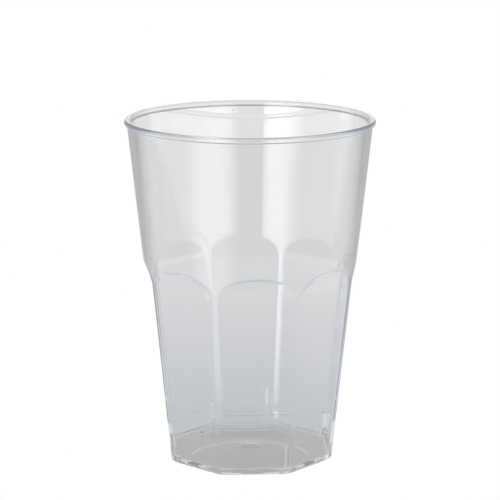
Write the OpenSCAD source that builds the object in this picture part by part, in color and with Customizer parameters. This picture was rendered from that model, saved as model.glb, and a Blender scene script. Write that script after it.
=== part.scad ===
// Clear moulded drinking tumbler: a round conical mouth over a body with flat panels.
// Each panel ends in a scooped, arched top, and narrow strips of the cone stay between them.
// The cup is one moulded piece. The origin is on the axis, in the plane it stands on.

/* [Cup] */
// Height from the table to the top of the rim
height = 110; // [95:1:130]
// Diameter of the outer cone in the plane of the table
foot_d = 55; // [50:0.1:62]
// Diameter of the outer cone at the height of the rim's top
mouth_d = 78.4; // [74:0.1:84]
// Thickness of the wall
wall = 1.05; // [0.9:0.05:1.3]

/* [Rim] */
// Thickness of the round bead that ends the wall
bead_d = 1.9; // [1.7:0.05:2.4]

/* [Panels] */
// Number of flat panels round the body
panel_count = 8; // [6:2:8]
// Depth of a panel's middle under the cone, in the plane of the table
panel_depth = 1.6; // [1.4:0.05:1.9]
// Depth of a panel's middle under the cone, at the height of the bend
bend_depth = 2.15; // [1.9:0.05:2.4]
// Height at which the panels bend outward
bend_z = 57.7; // [45:0.1:62]
// Outward lean of the scooped tops in degrees
scoop_lean = 22.4; // [18:0.2:30]
// Radius of the bend between panel and scoop
bend_r = 12; // [6:0.5:16]

/* [Base] */
// Thickness of the floor
floor_t = 1.3; // [1:0.1:2]
// Height of the recess under the floor, which rises from the standing ring to the middle
recess_h = 0.4; // [0.3:0.1:0.8]
// Width of the flat ring that the cup stands on, at a panel's middle
ring_w = 3.8; // [2:0.1:6]
// Radius of the outer edge along the table
foot_r = 0.5; // [0.3:0.1:0.9]
// Radius of the inner edge along the floor
floor_r = 1; // [0.6:0.1:1.6]
// Diameter of the raised dimple over the gate, in the middle of the floor
gate_d = 8.2; // [6:0.2:12]
// Height of the dimple over the floor
gate_h = 0.5; // [0.4:0.1:0.8]

/* [Stacking lugs] */
// Height of the lugs' seats above the table
lug_top = 9.2; // [6:0.1:14]
// Width of a lug, half of which stands out of its corner
lug_w = 2; // [1.6:0.1:2]

/* [Hidden] */
$fn = 96;
plastic = [0.80, 0.84, 0.86, 0.55];

over = 2;                                        // how far cutting shapes run past the body
graze = 0.002;                                   // how far a line starts inside the arc it runs on from
cone_slope = (mouth_d - foot_d) / 2 / height;    // run of the cone over its height
cone_lean = atan(cone_slope);
panel_slope = cone_slope - (bend_depth - panel_depth) / bend_z;
panel_lean = atan(panel_slope);
bend_lean = (panel_lean + scoop_lean) / 2;       // direction of the bisector at the bend
bend_half = (scoop_lean - panel_lean) / 2;
reach = mouth_d;                                 // far outside the body
bead_r = bead_d / 2;
bead_sink = 0.04;                                // how far the bead stands in from the wall's inside
floor_z = recess_h + floor_t;
recess_d = 2 * (foot_d / 2 - panel_depth - foot_r - ring_w);
step_angle = 360 / panel_count;
lug_count = panel_count / 2;                     // one in every other corner

// Radius of the cone, set in from the outer surface by inset, at height z
function cone_x(inset, z) = foot_d / 2 - inset / cos(cone_lean) + z * cone_slope;

// Distance of a panel from the axis, set in by inset, at height z
function flat_x(inset, z) = foot_d / 2 - panel_depth - inset / cos(panel_lean) + z * panel_slope;

// Outward unit normal of a surface that leans outward by the angle
function lean_normal(lean) = [cos(lean), -sin(lean)];

// Centre of the bend's arc, outside the body
bend_centre = [flat_x(0, bend_z), bend_z] + lean_normal(bend_lean) * bend_r / cos(bend_half);

// Side view of what rounds an edge at height z0, outside a surface at edge_x
module edge_section(edge_x, z0, edge_r) {
    difference() {
        translate([edge_x, z0 - over]) square([over + edge_r, over + edge_r]);
        translate([edge_x, z0 + edge_r]) circle(edge_r);
    }
}

// Side view of what a panel takes off: everything outside its flat, bend and scoop
module panel_section(inset, z0, edge_r) {
    r = bend_r + inset;
    low = bend_centre - lean_normal(panel_lean) * (r - graze);
    high = bend_centre - lean_normal(scoop_lean) * (r - graze);
    far_z = high[1] + (reach - high[0]) / tan(scoop_lean);
    polygon([[flat_x(inset, z0 - over), z0 - over], low, high, [reach, far_z], [reach, z0 - over]]);
    translate(bend_centre) circle(r);
    edge_section(flat_x(inset + edge_r, z0 + edge_r), z0, edge_r);
}

// The cup's form as a solid from z0 to z1: the cone with its panels, set in from the outer surface
module form(inset, z0, edge_r, z1) {
    difference() {
        difference() {
            translate([0, 0, z0])
                cylinder(h = z1 - z0, r1 = cone_x(inset, z0), r2 = cone_x(inset, z1));
            for (i = [0 : panel_count - 1])
                rotate([90, 0, i * step_angle - 90])
                    linear_extrude(height = reach, center = true)
                    panel_section(inset, z0, edge_r);
        }
        rotate_extrude() edge_section(cone_x(inset + edge_r, z0 + edge_r), z0, edge_r);
    }
}

// Round bead along the rim, carried by the top of the wall
module rim_bead() {
    z = height - bead_r;
    rotate_extrude() translate([cone_x(wall, z) + bead_r - bead_sink, z]) circle(bead_r);
}

// Spherical cap of the given base diameter and height, standing on z = 0 and carried on below it
module cap(d, h) {
    r = (d * d / 4 + h * h) / (2 * h);
    intersection() {
        translate([0, 0, h - r]) sphere(r);
        translate([0, 0, -over]) cylinder(d = 2 * d, h = h + 2 * over);
    }
}

// Half-round lugs that keep stacked cups apart, in every other corner
module lugs() {
    z = floor_z - floor_t / 2;
    for (i = [0 : lug_count - 1])
        rotate([0, 0, (2 * i + 0.5) * step_angle])
            translate([cone_x(wall, z), 0, z]) rotate([0, cone_lean, 0])
                cylinder(d = lug_w, h = (lug_top - z) / cos(cone_lean));
}

module tumbler() {
    color(plastic) difference() {
        union() {
            difference() {
                union() {
                    form(0, 0, foot_r, height - bead_r);
                    rim_bead();
                }
                form(wall, floor_z, floor_r, height + over);
            }
            lugs();
            translate([0, 0, floor_z]) cap(gate_d, gate_h);
        }
        translate([0, 0, -recess_h])
            cylinder(h = 2 * recess_h, r1 = recess_d - gate_d, r2 = gate_d);
        translate([0, 0, recess_h]) cap(gate_d, gate_h);
    }
}

tumbler();
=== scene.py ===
"""Clear plastic tumbler on a white sweep, lit by soft boxes left and right of the camera."""

import math

import bpy
import numpy as np
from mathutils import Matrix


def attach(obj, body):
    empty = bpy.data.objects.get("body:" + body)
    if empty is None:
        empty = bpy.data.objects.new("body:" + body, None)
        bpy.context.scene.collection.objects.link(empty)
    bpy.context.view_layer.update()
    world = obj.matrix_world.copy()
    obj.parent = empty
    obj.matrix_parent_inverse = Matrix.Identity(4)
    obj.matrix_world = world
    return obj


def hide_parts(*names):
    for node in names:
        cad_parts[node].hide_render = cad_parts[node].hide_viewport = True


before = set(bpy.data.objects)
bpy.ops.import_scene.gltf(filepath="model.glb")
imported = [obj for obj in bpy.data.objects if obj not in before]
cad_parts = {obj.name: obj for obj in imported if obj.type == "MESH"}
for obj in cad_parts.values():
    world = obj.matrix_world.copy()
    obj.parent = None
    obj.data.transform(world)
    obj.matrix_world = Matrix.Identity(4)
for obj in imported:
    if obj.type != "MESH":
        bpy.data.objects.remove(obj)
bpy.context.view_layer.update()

MM = 0.001

# The cup, in millimetres and radians
HEIGHT = 110.0
FOOT_R = 27.5                          # outer cone's radius in the plane of the table
CONE_SLOPE = 0.10636                   # run of the cone over its height
WALL = 1.05
RIM_R = 39.9                           # outside of the rim's bead
BEAD_R = 0.95
BEAD_TURNS = range(-74, 170, 8)        # degrees round the bead, from under it to the wall's inside
NECK_Z = 107.6                         # the last height of the wall under the bead
NECK_ROWS = [(107.98, 0.0), (108.08, 0.02)]   # height and swelling of the rows that run into the bead
PANELS = 8
SECTOR = 2 * math.pi / PANELS
FLAT_X = 25.9                          # a panel's distance from the axis in the plane of the table
PANEL_LEAN = math.atan(0.09683)
SCOOP_LEAN = math.radians(42.0)
BEND_Z = 62.0                          # where panel and scoop would meet without the bend
BEND_R = 11.5
FOOT_EDGE_R = 0.5
FLOOR_Z = 1.7                          # top of the floor
FLOOR_EDGE_R = 1.0
LUG_R = 1.0                            # half width of a stacking lug
LINE_Z = 20.45                         # fine line that the mould leaves round the body
LINE_DEPTH = 0.08

# How far the creases between panels and cone are rounded, in millimetres
SOFT_OUTSIDE = 0.25
SOFT_INSIDE = 0.3
SOFT_FLOOR = 0.1

# Columns of the mesh over half a panel and half a strip
HALF_PANEL = 15
HALF_STRIP = 10
CROWD_PANEL = 1.7                      # how strongly the columns crowd at the crease
CROWD_STRIP = 1.5
LEAST_CREASE = math.radians(2.0)       # keeps the columns apart above the arches

# Grains on the wall: azimuth in degrees, then radius, height and half width in millimetres
DUST = [
    (-127.3, 27.44, 13.2, 0.30),
    (-127.5, 27.32, 12.1, 0.18),
    (-132.3, 27.86, 19.8, 0.18),
    (-89.4, 28.86, 30.4, 0.15),
    (95.0, 37.80, 106.9, 0.20),
]
RUST = [(-31.5, 27.28, 6.3, 0.26)]
DUST_COLOUR = (0.03, 0.03, 0.035, 1)
RUST_COLOUR = (0.75, 0.30, 0.08, 1)
GRAIN_DEPTH = 0.4                      # share of a grain's half width
GRAIN_ROUGHNESS = 0.8

# Plastic: its own colour, and what light keeps that goes straight through
PLASTIC = (0.866, 0.871, 0.876, 1)
STRAIGHT = (0.94, 0.945, 0.95, 1)
PLASTIC_IOR = 1.585
PLASTIC_ROUGHNESS = 0.012

# Light that has run on inside the plastic for many bounces
LATE_BOUNCES = 7.5
LATE_ROUND = (0.24, 0.26, 0.34, 1)     # round the wall
LATE_UPRIGHT = (0.85, 0.86, 0.86, 1)   # up and down the wall, and in the lugs
LATE_FOOT = (0.43, 0.44, 0.41, 1)
LATE_RIM = (0.29, 0.30, 0.36, 1)
LATE_FOOT_Z = (0.002, 0.003)           # metres up to which the foot's tone holds
LATE_LUG_Z = (0.0100, 0.0115)
LATE_RIM_Z = (0.070, 0.080)
LATE_STEEP = (0.25, 0.5)               # upright part of a direction that counts as upright

# Steps of light, each with where it starts and ends and the levels before and after it.
# The soft boxes, by azimuth in degrees from the camera, positive to its left
KEY_STEPS = [(13, 14, 0, 1), (13, 22, 0.5, 1), (30, 60, 4.7, 1.4), (110, 130, 1, 0.4)]
FILL_STEPS = [(-26, -5, 1, 0), (-140, -108, 0.4, 1)]
FILL_RAMP = (-93, -32, 1.6, 2.55)
BOX_TOP = (0.10, 0.22, 1, 0.1)         # by the upright part of the direction
BACKDROP = (164, 167, 0, 0.94)
BACKDROP_TOPS = [(0.2, 0.3, 1, 0.6), (0.36, 0.55, 1, 0.1)]
ROOM = (0.30, 0.305, 0.34, 1)          # what is dark round the soft boxes
BOX_COLOUR = (1, 0.995, 0.91, 1)
WHITE = (1, 1, 1, 1)

# The paper, in metres: across, away from the camera, or from the axis
SIDE_STEP = (0.06, 0.10, 0, 0.42)      # darker at both sides of what lies behind the cup
SIDE_SPREAD = 0.075
BEHIND_STEP = (0, 0.1)
BEHIND_SPREAD = 0.25
BACK_STEP = (-0.30, 0.30, 0.78, 0.99)
CUP_SHADE = (0.04, 0.22)               # from the axis, where the cup's shade fades
CUP_SHADE_LEVELS = (0.80, 0.93)
UNDER_R = (0.0262, 0.0275)             # edge of the shade under the floor
UNDER_LEVELS = (0.82, 1)
POOL_STEPS = [(10, 30, 0, 1), (46, 64, 0.9, 0)]   # the key's pool of light, by azimuth
POOL_R = (0.05, 0.11)
ARC_Y, ARC_R = -0.0118, 0.0187         # arc of light that the cup's foot throws
ARC_STEP = (0.0002, 0.0006, 0.30, 0)
ARC_END = (-0.012, -0.004)
KEY_SHEEN = [(0.05, 0.12, 0.75, 0), (0.15, 0.32, 0.25, 0)]   # by the upright part of the direction
FILL_SHEEN = (0.03, 0.055, 1, 0)
# Tints of the paper's painted shade as seen through the cup: bluish near the cup, less so further out, warm
# under its floor
PAPER_NEAR = (0.978, 1, 1.022, 1)
PAPER_FAR = (0.99, 1, 1.01, 1)
PAPER_UNDER = (1.012, 1, 0.985, 1)     # under the cup's floor
TABLE_HALF = 3.0
TABLE_DROP = 0.00005                   # between the table and the cup's foot

# The camera, in the frame of the photograph, which is turned about the cup's axis
RIG_TURN = math.radians(-3.7)
CAMERA_BACK = 647.8
CAMERA_UP = 210.4
CAMERA_DOWN = math.radians(12.47)
FOCAL_PX = 2064.0
PHOTO_PX = 500
SENSOR = 36

BOUNCES = 32
GLOSSY_BOUNCES = 16


def cone_x(z, inset=0.0):
    """Radius of the cone at height z, set in from the outer surface."""
    return FOOT_R + z * CONE_SLOPE - inset * math.hypot(1, CONE_SLOPE)


def panel_x(z, inset=0.0):
    """Distance of a panel from the axis at height z: flat, bend and scoop."""
    bend_x = FLAT_X + BEND_Z * math.tan(PANEL_LEAN)
    mid, half = (PANEL_LEAN + SCOOP_LEAN) / 2, (SCOOP_LEAN - PANEL_LEAN) / 2
    reach = BEND_R / math.cos(half)
    cx, cz = bend_x + math.cos(mid) * reach, BEND_Z - math.sin(mid) * reach
    r = BEND_R + inset
    low, high = cz + r * math.sin(PANEL_LEAN), cz + r * math.sin(SCOOP_LEAN)
    flat = FLAT_X + z * math.tan(PANEL_LEAN) - inset / math.cos(PANEL_LEAN)
    arc = cx - np.sqrt(np.maximum(r * r - (z - cz) ** 2, 1e-9))
    scoop = cx - r * math.cos(SCOOP_LEAN) + (z - high) * math.tan(SCOOP_LEAN)
    return np.where(z < low, flat, np.where(z < high, arc, scoop))


def soft_min(a, b, k):
    """The smaller of two lengths, rounded where they meet."""
    h = np.maximum(k - np.abs(a - b), 0) / k
    return np.minimum(a, b) - h * h * k / 4


def columns(z, inset):
    """Azimuths from a panel's middle over half a sector, closer together by the crease."""
    ratio = np.clip(panel_x(z, inset) / cone_x(z, inset), -1, 1)
    crease = max(float(np.arccos(ratio)), LEAST_CREASE)
    near = 1 - (1 - np.linspace(0, 1, HALF_PANEL + 1)) ** CROWD_PANEL
    far = np.linspace(0, 1, HALF_STRIP + 1)[1:] ** CROWD_STRIP
    return np.concatenate([near * crease, crease + far * (SECTOR / 2 - crease)])


class Ring:
    """One ring of the cup's wall: azimuths, radii and heights of its points."""

    def __init__(self, z, inset=0.0, soft=SOFT_OUTSIDE, shrink=0.0, lug=0.0):
        """Inset is the depth under the outer surface, and lug the share of a lug's depth."""
        half = columns(z, inset)
        phi = np.concatenate([-half[:0:-1], half[:-1]])
        wall = soft_min(cone_x(z, inset), panel_x(z, inset) / np.cos(phi), soft) - shrink
        self.az = np.concatenate([phi + k * SECTOR - math.pi / 2 for k in range(PANELS)])
        self.r = np.tile(wall, PANELS)
        if lug:
            corner = (self.az - SECTOR / 2 + SECTOR) % (2 * SECTOR) - SECTOR
            across = np.abs(corner) * self.r
            self.r = self.r - lug * np.sqrt(np.maximum(LUG_R**2 - across**2, 0))
        self.z = np.full_like(self.r, z)


class Circle:
    """A round ring, or a ring of given radii, with the azimuths of another ring."""

    def __init__(self, like, r, z):
        self.az = like.az
        self.r = np.zeros_like(self.az) + r
        self.z = np.full_like(self.az, float(z))


def underside_rings():
    """From the dimple over the gate, across the recess, to the ring that the cup stands on."""
    like = Ring(FOOT_EDGE_R, shrink=FOOT_EDGE_R)
    dimple = [(0.4, 0.9), (1.5, 0.84), (2.6, 0.71), (3.5, 0.54), (4.1, 0.4), (4.6, 0.4)]
    recess = [(8.2, 0.4), (12, 0.29), (17, 0.135), (20, 0.045), (21.0, 0.015), (21.45, 0.004)]
    return [Circle(like, r, z) for r, z in dimple + recess + [(22.5, 0.0)]]


def outer_rings():
    """Up the outside, from the foot's rounded edge to the neck under the bead."""
    rings = [Ring(0.0, shrink=FOOT_EDGE_R)]
    for turn in np.linspace(15, 90, 6):
        turn = math.radians(turn)
        rings.append(Ring(FOOT_EDGE_R * (1 - math.cos(turn)), shrink=FOOT_EDGE_R * (1 - math.sin(turn))))
    for z in [1.5, 3, 6, 9, 12, 15, 18, 20.2, 20.35]:
        rings.append(Ring(z))
    rings.append(Ring(LINE_Z, shrink=LINE_DEPTH))
    body = [20.55, 20.7, 22, 26, 30, 35, 40, 45, 50, 53, 55]
    arches = [*np.arange(55.5, 63.8, 0.25), *np.arange(63.8, 65.8, 0.12)]
    mouth = [66.1, 66.8, 68, 71, 75, 80, 85, 90, 95, 100, 104, 106.5, NECK_Z]
    return rings + [Ring(z) for z in body + arches + mouth]


def rim_rings():
    """Over the bead, from its foot on the outside to the wall's inside, and down to the arches."""
    like = Ring(NECK_Z)
    bead_x, bead_z = RIM_R - BEAD_R, HEIGHT - BEAD_R
    rings = [Circle(like, cone_x(z) + swell, z) for z, swell in NECK_ROWS]
    for turn in BEAD_TURNS:
        turn = math.radians(turn)
        rings.append(Circle(like, bead_x + BEAD_R * math.cos(turn), bead_z + BEAD_R * math.sin(turn)))
    for z in [109.0, 108.7, 108, 106, 103, 99, 94, 89, 84, 79, 75, 71, 69, 68, 67.3]:
        rings.append(Circle(like, cone_x(z, WALL), z))
    return rings


def inner_rings():
    """Down the inside, past the lugs' seats, and round the edge of the floor."""
    arches = [*np.arange(66.9, 65.0, -0.12), *np.arange(64.9, 55.0, -0.3)]
    body = [54, 52, 50, 45, 40, 35, 30, 25, 20, 15, 12, 10.2, 9.7, 9.4]
    rings = [Ring(z, WALL, soft=SOFT_INSIDE) for z in arches + body]
    seats = [(9.3, 0.15), (9.25, 0.5), (9.18, 0.85), (9.05, 1)]
    for z, lug in seats + [(8, 1), (6, 1), (4.5, 1), (3.5, 1)]:
        rings.append(Ring(z, WALL, soft=SOFT_FLOOR, lug=lug))
    for turn in np.linspace(0, 90, 7):
        turn = math.radians(turn)
        z = FLOOR_Z + FLOOR_EDGE_R * (1 - math.sin(turn))
        rings.append(Ring(z, WALL, soft=SOFT_FLOOR, shrink=FLOOR_EDGE_R * (1 - math.cos(turn)), lug=1))
    return rings


def floor_rings(edge):
    """Across the floor, from the edge ring to the middle of the dimple."""
    rings = [Circle(edge, edge.r * share, FLOOR_Z) for share in [0.93, 0.85, 0.7, 0.5, 0.35, 0.25]]
    dimple = [(4.6, 0), (4.1, 0.02), (3.5, 0.14), (2.6, 0.3), (1.5, 0.43), (0.4, 0.5)]
    return rings + [Circle(edge, r, FLOOR_Z + z) for r, z in dimple]


def cup_rings():
    """All rings from the middle of the underside, up the outside and down the inside."""
    inner = inner_rings()
    return underside_rings() + outer_rings() + rim_rings() + inner + floor_rings(inner[-1])


def link(name, data):
    """Put a mesh or a camera into the scene as an object of its own."""
    piece = bpy.data.objects.new(name, data)
    bpy.context.scene.collection.objects.link(piece)
    return piece


def loft(name, rings):
    """A closed, smooth-shaded mesh through rings of equal length, capped at both ends."""
    count = len(rings[0].az)
    points = [np.column_stack([r.r * np.cos(r.az), r.r * np.sin(r.az), r.z]) for r in rings]
    co = np.concatenate(points + [[[0, 0, rings[0].z[0]], [0, 0, rings[-1].z[0]]]]) * MM
    faces = []
    for i in range(len(rings) - 1):
        a, b = i * count, (i + 1) * count
        for j in range(count):
            k = (j + 1) % count
            faces.append((a + j, a + k, b + k, b + j))
    start, end = len(co) - 2, len(co) - 1
    top = (len(rings) - 1) * count
    for j in range(count):
        k = (j + 1) % count
        faces.append((start, k, j))
        faces.append((end, top + j, top + k))
    mesh = bpy.data.meshes.new(name)
    mesh.from_pydata(co.tolist(), [], faces)
    mesh.shade_smooth()
    mesh.update()
    return link(name, mesh)


def grain_material(name, colour):
    """Dull, opaque grains."""
    material = bpy.data.materials.new(name)
    material.use_nodes = True
    shader = material.node_tree.nodes["Principled BSDF"]
    shader.inputs["Base Color"].default_value = colour
    shader.inputs["Roughness"].default_value = GRAIN_ROUGHNESS
    return material


def specks(name, spots, colour):
    """Small flat grains stuck to the wall, each an eight-sided lozenge."""
    points, faces = [], []
    for azimuth, r, z, size in spots:
        a = math.radians(azimuth)
        centre = np.array([r * math.cos(a), r * math.sin(a), z])
        out = np.array([math.cos(a), math.sin(a), 0]) * size * GRAIN_DEPTH
        side, up = np.array([-math.sin(a), math.cos(a), 0]) * size, np.array([0, 0, size])
        n = len(points)
        points += [centre + out, centre - out, centre + side, centre + up, centre - side, centre - up]
        for i in range(4):
            j, k = n + 2 + i, n + 2 + (i + 1) % 4
            faces += [(n, j, k), (n + 1, k, j)]
    mesh = bpy.data.meshes.new(name)
    mesh.from_pydata((np.array(points) * MM).tolist(), [], faces)
    mesh.materials.append(grain_material(name, colour))
    piece = link(name, mesh)
    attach(piece, "root")


class Nodes:
    """A short way to write a node tree."""

    def __init__(self, owner):
        """Owner is a new material or world, whose nodes are replaced."""
        owner.use_nodes = True
        self.tree = owner.node_tree
        self.tree.nodes.clear()

    def add(self, kind, inputs=(), **props):
        """A node with its inputs linked or set."""
        node = self.tree.nodes.new(kind)
        for key, value in props.items():
            setattr(node, key, value)
        for key, value in dict(inputs).items():
            if isinstance(value, bpy.types.NodeSocket):
                self.tree.links.new(value, node.inputs[key])
            else:
                node.inputs[key].default_value = value
        return node

    def math(self, operation, *values):
        """One operation on one or two values."""
        return self.add("ShaderNodeMath", enumerate(values), operation=operation).outputs[0]

    def times(self, first, *others):
        """Product of the values."""
        for value in others:
            first = self.math("MULTIPLY", first, value)
        return first

    def minus(self, value):
        """The value with its sign turned."""
        return self.math("MULTIPLY", value, -1.0)

    def ramp(self, value, low, high, out_low=0.0, out_high=1.0, shape="LINEAR"):
        """Ramp from out_low to out_high while the value goes from low to high."""
        inputs = {"Value": value, "From Min": low, "From Max": high, "To Min": out_low, "To Max": out_high}
        return self.add("ShaderNodeMapRange", inputs, interpolation_type=shape).outputs[0]

    def step(self, value, low, high, out_low=0.0, out_high=1.0):
        """The same with smooth ends."""
        return self.ramp(value, low, high, out_low, out_high, "SMOOTHSTEP")

    def steps(self, value, rows):
        """Product of smooth steps."""
        return self.times(*[self.step(value, *row) for row in rows])

    def mix(self, factor, low, high, how="MIX"):
        """Mix of two colours."""
        values = {0: factor, 6: low, 7: high}
        return self.add("ShaderNodeMix", values, data_type="RGBA", blend_type=how).outputs[2]

    def split(self, vector):
        """The parts x, y and z of a vector."""
        return self.add("ShaderNodeSeparateXYZ", {0: vector}).outputs

    def rig(self, vector):
        """The parts of a direction or place in the camera's frame."""
        inputs = {"Vector": vector, "Angle": -RIG_TURN, "Axis": (0, 0, 1)}
        return self.split(self.add("ShaderNodeVectorRotate", inputs, rotation_type="AXIS_ANGLE").outputs[0])

    def azimuth(self, x, y):
        """Azimuth in degrees from the direction to the camera, positive to the camera's left side."""
        return self.math("MULTIPLY", self.math("ARCTAN2", self.minus(x), self.minus(y)), 180 / math.pi)

    def radius(self, x, y):
        """Distance of the place x, y from the middle."""
        squares = self.math("ADD", self.math("POWER", x, 2.0), self.math("POWER", y, 2.0))
        return self.math("POWER", squares, 0.5)


def late_light(t):
    """Light that runs on inside the wall: dark where it runs round, bright where it runs up and down."""
    geometry = t.add("ShaderNodeNewGeometry").outputs
    z = t.split(geometry["Position"])["Z"]
    steep = t.math("ABSOLUTE", t.split(geometry["Incoming"])["Z"])
    tone = t.mix(t.step(z, *LATE_LUG_Z), LATE_UPRIGHT, LATE_ROUND)
    tone = t.mix(t.step(steep, *LATE_STEEP), tone, LATE_UPRIGHT)
    tone = t.mix(t.step(z, *LATE_FOOT_Z), LATE_FOOT, tone)
    tone = t.mix(t.step(z, *LATE_RIM_Z), tone, LATE_RIM)
    return t.add("ShaderNodeEmission", {"Color": tone, "Strength": 1.0})


def clear_plastic():
    """Clear polystyrene. Light reaches other surfaces straight through it."""
    material = bpy.data.materials.new("clear plastic")
    t = Nodes(material)
    path = t.add("ShaderNodeLightPath").outputs
    glass = t.add(
        "ShaderNodeBsdfPrincipled",
        {
            "Base Color": PLASTIC,
            "Roughness": PLASTIC_ROUGHNESS,
            "IOR": PLASTIC_IOR,
            "Transmission Weight": 1.0,
        },
    )
    straight = t.add("ShaderNodeBsdfTransparent", {"Color": STRAIGHT})
    soft = t.math("MAXIMUM", path["Is Shadow Ray"], path["Is Diffuse Ray"])
    mix = t.add("ShaderNodeMixShader", {0: soft, 1: glass.outputs[0], 2: straight.outputs[0]})
    late = t.math("GREATER_THAN", path["Ray Depth"], LATE_BOUNCES)
    mix = t.add("ShaderNodeMixShader", {0: late, 1: mix.outputs[0], 2: late_light(t).outputs[0]})
    t.add("ShaderNodeOutputMaterial", {"Surface": mix.outputs[0]})
    return material


def soft_boxes(t, azimuth):
    """Brightness of the two soft boxes: the key left of the camera and the fill right of it."""
    key = t.steps(azimuth, KEY_STEPS)
    fill = t.times(t.steps(azimuth, FILL_STEPS), t.ramp(azimuth, *FILL_RAMP))
    return key, fill


def paper_shade(t, x, y, away):
    """Brightness of the paper, with the key's pool of light left of the cup and in front of it."""
    wide = t.math("ABSOLUTE", x)
    behind = t.step(t.math("SUBTRACT", y, t.times(wide, BEHIND_SPREAD)), *BEHIND_STEP)
    edge = t.math("SUBTRACT", wide, t.times(y, SIDE_SPREAD))
    side = t.math("SUBTRACT", 1.0, t.times(t.step(edge, *SIDE_STEP), behind))
    back = t.step(y, *BACK_STEP)
    near = t.ramp(away, *CUP_SHADE, *CUP_SHADE_LEVELS)
    under = t.step(away, *UNDER_R, *UNDER_LEVELS)
    shade = t.times(side, back, t.times(near, under))
    pool = t.times(t.steps(t.azimuth(x, y), POOL_STEPS), t.step(away, *POOL_R))
    shade = t.math("ADD", shade, pool)
    off = t.math("SUBTRACT", t.radius(x, t.math("SUBTRACT", y, ARC_Y)), ARC_R)
    arc = t.times(t.step(t.math("ABSOLUTE", off), *ARC_STEP), t.step(y, *ARC_END))
    return t.math("ADD", shade, arc)


def paper_sheen(t, incoming):
    """The soft boxes as the paper mirrors them at a grazing angle."""
    x, y, z = t.rig(incoming)
    key, fill = soft_boxes(t, t.azimuth(t.minus(x), t.minus(y)))
    mirror = t.math("ADD", *[t.step(z, *row) for row in KEY_SHEEN])
    return t.math("MAXIMUM", t.times(key, mirror), t.times(fill, t.step(z, *FILL_SHEEN)))


def sweep_material():
    """White paper. The camera sees it pure white; through the cup it is shaded."""
    material = bpy.data.materials.new("white sweep")
    t = Nodes(material)
    path = t.add("ShaderNodeLightPath").outputs
    geometry = t.add("ShaderNodeNewGeometry").outputs
    place = geometry["Position"]
    x, y, _ = t.rig(place)
    level_place = t.add("ShaderNodeVectorMath", {0: place, 1: (1, 1, 0)}, operation="MULTIPLY").outputs[0]
    away = t.add("ShaderNodeVectorMath", {0: level_place}, operation="LENGTH").outputs["Value"]
    shade = t.math("MAXIMUM", paper_shade(t, x, y, away), paper_sheen(t, geometry["Incoming"]))
    strength = t.add("ShaderNodeMix", {0: path["Is Camera Ray"], 2: shade, 3: 1.0}).outputs[0]
    # painted tint of the shade: bluish near the cup, warm under its floor, white for the camera
    tint = t.mix(t.ramp(away, *CUP_SHADE), PAPER_NEAR, PAPER_FAR)
    tint = t.mix(t.step(away, *UNDER_R), PAPER_UNDER, tint)
    tint = t.mix(path["Is Camera Ray"], tint, WHITE)
    light = t.add("ShaderNodeEmission", {"Color": tint, "Strength": strength})
    t.add("ShaderNodeOutputMaterial", {"Surface": light.outputs[0]})
    return material


def studio_world():
    """The studio as the cup's surfaces see it: the soft boxes, and the backdrop behind the cup."""
    world = bpy.data.worlds.new("studio")
    bpy.context.scene.world = world
    t = Nodes(world)
    path = t.add("ShaderNodeLightPath").outputs
    x, y, z = t.rig(t.add("ShaderNodeTexCoord").outputs["Generated"])
    azimuth = t.azimuth(x, y)
    key, fill = soft_boxes(t, azimuth)
    boxes = t.times(t.math("MAXIMUM", key, fill), t.step(z, *BOX_TOP))
    backdrop = t.times(t.step(t.math("ABSOLUTE", azimuth), *BACKDROP), t.steps(z, BACKDROP_TOPS))
    level = t.math("MAXIMUM", boxes, backdrop)
    room = t.mix(1.0, t.mix(1.0, BOX_COLOUR, level, "MULTIPLY"), ROOM, "LIGHTEN")
    seen = t.mix(path["Is Camera Ray"], room, WHITE)
    light = t.add("ShaderNodeBackground", {"Color": seen, "Strength": 1.0})
    t.add("ShaderNodeOutputWorld", {"Surface": light.outputs[0]})


def build_stage():
    """A level table that runs far out."""
    mesh = bpy.data.meshes.new("sweep")
    half = TABLE_HALF
    corners = [(-half, -half, 0), (half, -half, 0), (half, half, 0), (-half, half, 0)]
    mesh.from_pydata(corners, [], [(0, 1, 2, 3)])
    sweep = link("sweep", mesh)
    sweep.location.z = -TABLE_DROP
    sweep.rotation_euler.z = RIG_TURN
    mesh.materials.append(sweep_material())


def build_camera():
    """The photograph's camera."""
    data = bpy.data.cameras.new("camera")
    data.sensor_width = SENSOR
    data.lens = FOCAL_PX / PHOTO_PX * SENSOR
    camera = link("camera", data)
    back = CAMERA_BACK * MM
    camera.location = (back * math.sin(RIG_TURN), -back * math.cos(RIG_TURN), CAMERA_UP * MM)
    camera.rotation_euler = (math.pi / 2 - CAMERA_DOWN, 0, RIG_TURN)
    bpy.context.scene.camera = camera


def render_settings():
    """Plain colours, and enough bounces for light that crosses the walls many times."""
    scene = bpy.context.scene
    scene.view_settings.view_transform = "Standard"
    scene.cycles.max_bounces = BOUNCES
    scene.cycles.transmission_bounces = BOUNCES
    scene.cycles.glossy_bounces = GLOSSY_BOUNCES
    scene.cycles.transparent_max_bounces = BOUNCES


def main():
    """Build the cup and what stands round it."""
    cup = loft("cup", cup_rings())
    cup.data.materials.append(clear_plastic())
    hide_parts("tumbler")
    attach(cup, "root")
    specks("dust", DUST, DUST_COLOUR)
    specks("rust", RUST, RUST_COLOUR)
    build_stage()
    studio_world()
    build_camera()
    render_settings()


main()
